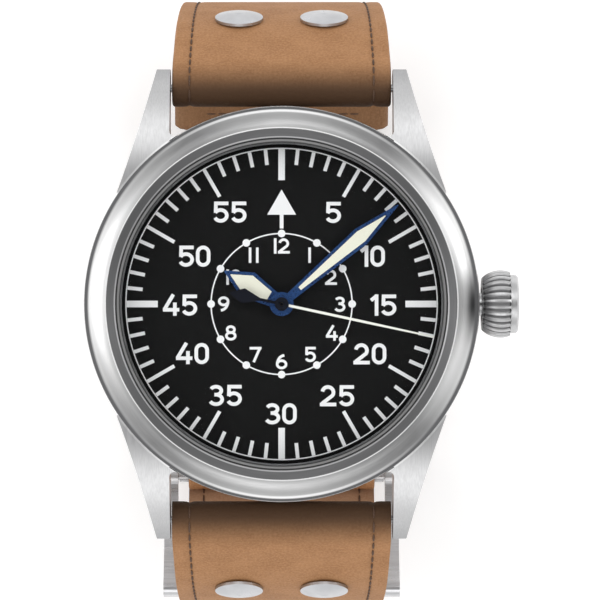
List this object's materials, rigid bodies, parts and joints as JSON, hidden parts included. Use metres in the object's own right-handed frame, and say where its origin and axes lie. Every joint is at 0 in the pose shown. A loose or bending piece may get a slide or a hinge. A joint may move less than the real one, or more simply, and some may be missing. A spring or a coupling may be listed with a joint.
{
  "type": "pilot watch",
  "caption": "Hand-wound pilot's wristwatch with a steel case, black dial, lozenge hands, fluted crown and a riveted leather strap buckled into a loop.",
  "frame": {"origin": "centre of the case back's flat outer face", "axes": "+Z out of the dial, +Y towards 12 o'clock, +X along the crown"},
  "size_m": [0.0466, 0.0702, 0.0573],
  "materials": {
    "case_steel": "satin brushed",
    "bezel_steel": "circular brushed, polished edge",
    "crown_steel": "fluted, polished",
    "crystal_glass": "clear, bevelled",
    "seal_rubber": "matt",
    "inner_black": "matt black",
    "dial_black": "matt black",
    "dial_print": "printed, off-white",
    "hand_blue": "blued steel",
    "lume_cream": "luminous paint",
    "seconds_cream": "cream needle, black hub and tail",
    "bar_steel": "plain steel",
    "buckle_steel": "satin brushed",
    "strap_leather": "light tan calf, fine grain, tone-on-tone stitches",
    "movement_nickel": "nickel plated",
    "movement_brass": "gilt",
    "movement_steel": "polished steel"
  },
  "bodies": {
    "case": {"case_middle": "case_steel", "bezel": "bezel_steel", "crystal": "crystal_glass", "crystal_gasket": "seal_rubber", "rehaut_ring": "inner_black", "case_back": "case_steel", "case_back_gasket": "seal_rubber", "crown_tube": "crown_steel", "spring_bar_tubes": "bar_steel", "dial": "dial_black", "dial_markings": "dial_print", "main_plate": "movement_nickel", "movement_ring": "movement_nickel", "barrel_bridge": "movement_nickel", "train_bridge": "movement_nickel", "balance_cock": "movement_nickel", "movement_screws": "movement_steel"},
    "fourth_and_seconds": {"fourth_wheel": "movement_brass", "seconds_hand": "seconds_cream"},
    "third": {"third_wheel": "movement_brass"},
    "centre": {"centre_wheel": "movement_brass"},
    "barrel": {"barrel_drum": "movement_brass", "mainspring": "movement_steel"},
    "escape": {"escape_wheel": "movement_steel"},
    "pallets": {"pallet_fork": "movement_steel"},
    "balance": {"balance_wheel": "movement_brass", "hairspring": "movement_steel"},
    "minute": {"cannon_pinion": "movement_steel", "minute_hand": "hand_blue", "minute_hand_lume": "lume_cream"},
    "hour": {"hour_wheel": "movement_steel", "hour_hand": "hand_blue", "hour_hand_lume": "lume_cream"},
    "minute_work": {"minute_wheel": "movement_steel"},
    "setting_work": {"setting_wheel": "movement_steel"},
    "winding": {"winding_pinion": "movement_steel"},
    "stem": {"winding_stem": "crown_steel", "crown": "crown_steel", "crown_gasket": "seal_rubber"},
    "sliding": {"sliding_pinion": "movement_steel"},
    "set_lever": {"setting_lever": "movement_steel"},
    "yoke_lever": {"yoke": "movement_steel"},
    "crown_work": {"crown_wheel": "movement_steel"},
    "ratchet": {"ratchet_wheel": "movement_steel"},
    "click_lever": {"click": "movement_steel"},
    "tip_12_right": {"spring_bar_tip_12_right": "bar_steel"},
    "tip_12_left": {"spring_bar_tip_12_left": "bar_steel"},
    "tip_6_right": {"spring_bar_tip_6_right": "bar_steel"},
    "tip_6_left": {"spring_bar_tip_6_left": "bar_steel"},
    "strap_short": {"strap_short_upper": "strap_leather", "rivets_short": "buckle_steel"},
    "loop_bottom": {"strap_short_lower": "strap_leather", "buckle_bar": "bar_steel", "fixed_keeper": "strap_leather", "strap_long_tail": "strap_leather"},
    "sliding_keeper": {"free_keeper": "strap_leather"},
    "strap_long": {"strap_long_upper": "strap_leather", "rivets_long": "buckle_steel", "buckle_frame": "buckle_steel"},
    "tongue": {"buckle_tongue": "buckle_steel"}
  },
  "joints": [
    {"name": "seconds_run", "type": "hinge", "parent": "case", "child": "fourth_and_seconds", "pos_m": [0, 0, 0.0028], "axis": [0, 0, -1], "continuous": true},
    {"name": "third_run", "type": "hinge", "parent": "case", "child": "third", "pos_m": [0, -0.00425, 0.0032], "axis": [0, 0, -1], "continuous": true},
    {"name": "centre_run", "type": "hinge", "parent": "case", "child": "centre", "pos_m": [0, 0, 0.0042], "axis": [0, 0, -1], "continuous": true},
    {"name": "barrel_run", "type": "hinge", "parent": "case", "child": "barrel", "pos_m": [0.00374, 0.00534, 0.0035], "axis": [0, 0, -1], "continuous": true},
    {"name": "escape_run", "type": "hinge", "parent": "case", "child": "escape", "pos_m": [-0.00416, 0, 0.0035], "axis": [0, 0, -1], "continuous": true},
    {"name": "pallets_rock", "type": "hinge", "parent": "case", "child": "pallets", "pos_m": [-0.00646, -0.00133, 0.0038], "axis": [0, 0, -1], "range_deg": [-5, 5]},
    {"name": "balance_swing", "type": "hinge", "parent": "case", "child": "balance", "pos_m": [-0.00932, -0.00298, 0.0027], "axis": [0, 0, -1], "range_deg": [-135, 135], "stiffness_Nm_per_rad": 0.000001, "deforming": ["hairspring"]},
    {"name": "hand_set", "type": "hinge", "parent": "centre", "child": "minute", "pos_m": [0, 0, 0.0057], "axis": [0, 0, -1], "continuous": true},
    {"name": "hour_run", "type": "hinge", "parent": "case", "child": "hour", "pos_m": [0, 0, 0.006], "axis": [0, 0, -1], "continuous": true},
    {"name": "minute_wheel_turn", "type": "hinge", "parent": "case", "child": "minute_work", "pos_m": [0.0024, 0, 0.0057], "axis": [0, 0, -1], "continuous": true},
    {"name": "setting_wheel_turn", "type": "hinge", "parent": "case", "child": "setting_work", "pos_m": [0.0062, 0, 0.0057], "axis": [0, 0, -1], "continuous": true},
    {"name": "crown_turn", "type": "hinge", "parent": "case", "child": "winding", "pos_m": [0.0109, 0, 0.0044], "axis": [1, 0, 0], "continuous": true},
    {"name": "crown_pull", "type": "slide", "parent": "winding", "child": "stem", "axis": [1, 0, 0], "range_m": [0, 0.0012]},
    {"name": "sliding_pinion_shift", "type": "slide", "parent": "winding", "child": "sliding", "axis": [1, 0, 0], "range_m": [-0.0006, 0]},
    {"name": "setting_lever_turn", "type": "hinge", "parent": "case", "child": "set_lever", "pos_m": [0.0124, 0.0025, 0.0057], "axis": [0, 0, 1], "range_deg": [0, 29]},
    {"name": "yoke_turn", "type": "hinge", "parent": "case", "child": "yoke_lever", "pos_m": [0.00935, -0.003, 0.0057], "axis": [0, 0, 1], "range_deg": [0, 12]},
    {"name": "crown_wheel_turn", "type": "hinge", "parent": "case", "child": "crown_work", "pos_m": [0.00857, 0, 0.0021], "axis": [0, 0, 1], "continuous": true},
    {"name": "ratchet_turn", "type": "hinge", "parent": "case", "child": "ratchet", "pos_m": [0.00374, 0.00534, 0.0021], "axis": [0, 0, 1], "continuous": true},
    {"name": "click_lift", "type": "hinge", "parent": "case", "child": "click_lever", "pos_m": [-0.00208, 0.00534, 0.0021], "axis": [0, 0, 1], "range_deg": [0, 8], "stiffness_Nm_per_rad": 0.000001},
    {"name": "tip_12_right_press", "type": "slide", "parent": "case", "child": "tip_12_right", "axis": [-1, 0, 0], "range_m": [0, 0.001], "stiffness_N_per_m": 1500},
    {"name": "tip_12_left_press", "type": "slide", "parent": "case", "child": "tip_12_left", "axis": [1, 0, 0], "range_m": [0, 0.001], "stiffness_N_per_m": 1500},
    {"name": "tip_6_right_press", "type": "slide", "parent": "case", "child": "tip_6_right", "axis": [-1, 0, 0], "range_m": [0, 0.001], "stiffness_N_per_m": 1500},
    {"name": "tip_6_left_press", "type": "slide", "parent": "case", "child": "tip_6_left", "axis": [1, 0, 0], "range_m": [0, 0.001], "stiffness_N_per_m": 1500},
    {"name": "strap_swing", "type": "hinge", "parent": "case", "child": "strap_short", "pos_m": [0, 0.0233, 0.0023], "axis": [1, 0, 0], "range_deg": [-7, 7], "stiffness_Nm_per_rad": 0.15},
    {"name": "strap_front_flex", "type": "hinge", "parent": "strap_short", "child": "loop_bottom", "pos_m": [0, 0.0262, -0.03901], "axis": [1, 0, 0], "range_deg": [-7, 7]},
    {"name": "strap_buckle_flex", "type": "hinge", "parent": "loop_bottom", "child": "strap_long", "pos_m": [0, -0.0204, -0.03901], "axis": [1, 0, 0], "range_deg": [-7, 7]},
    {"name": "keeper_slide", "type": "slide", "parent": "loop_bottom", "child": "sliding_keeper", "axis": [0, 0.9455, 0.3256], "range_m": [-0.001, 0.0003]},
    {"name": "tongue_lift", "type": "hinge", "parent": "strap_long", "child": "tongue", "pos_m": [0, -0.0204, -0.03901], "axis": [1, 0, 0], "range_deg": [0, 8]}
  ],
  "couplings": [
    {"joint": "third_run", "follows": "seconds_run", "ratio": -0.13333},
    {"joint": "centre_run", "follows": "seconds_run", "ratio": 0.016667},
    {"joint": "barrel_run", "follows": "seconds_run", "ratio": -0.0025641},
    {"joint": "escape_run", "follows": "seconds_run", "ratio": -10},
    {"joint": "minute_wheel_turn", "follows": "hand_set", "ratio": -0.33333},
    {"joint": "hour_run", "follows": "hand_set", "ratio": 0.083333},
    {"joint": "setting_wheel_turn", "follows": "hand_set", "ratio": 0.3},
    {"joint": "sliding_pinion_shift", "follows": "crown_pull", "ratio": -0.5},
    {"joint": "setting_lever_turn", "follows": "crown_pull", "rad_per_m": 416.7},
    {"joint": "yoke_turn", "follows": "crown_pull", "rad_per_m": 166.7},
    {"joint": "crown_wheel_turn", "follows": "crown_turn", "ratio": 0.44444},
    {"joint": "ratchet_turn", "follows": "crown_turn", "ratio": -0.2963},
    {"joint": "strap_front_flex", "follows": "strap_swing", "ratio": -1},
    {"joint": "strap_buckle_flex", "follows": "strap_swing", "ratio": 1}
  ]
}
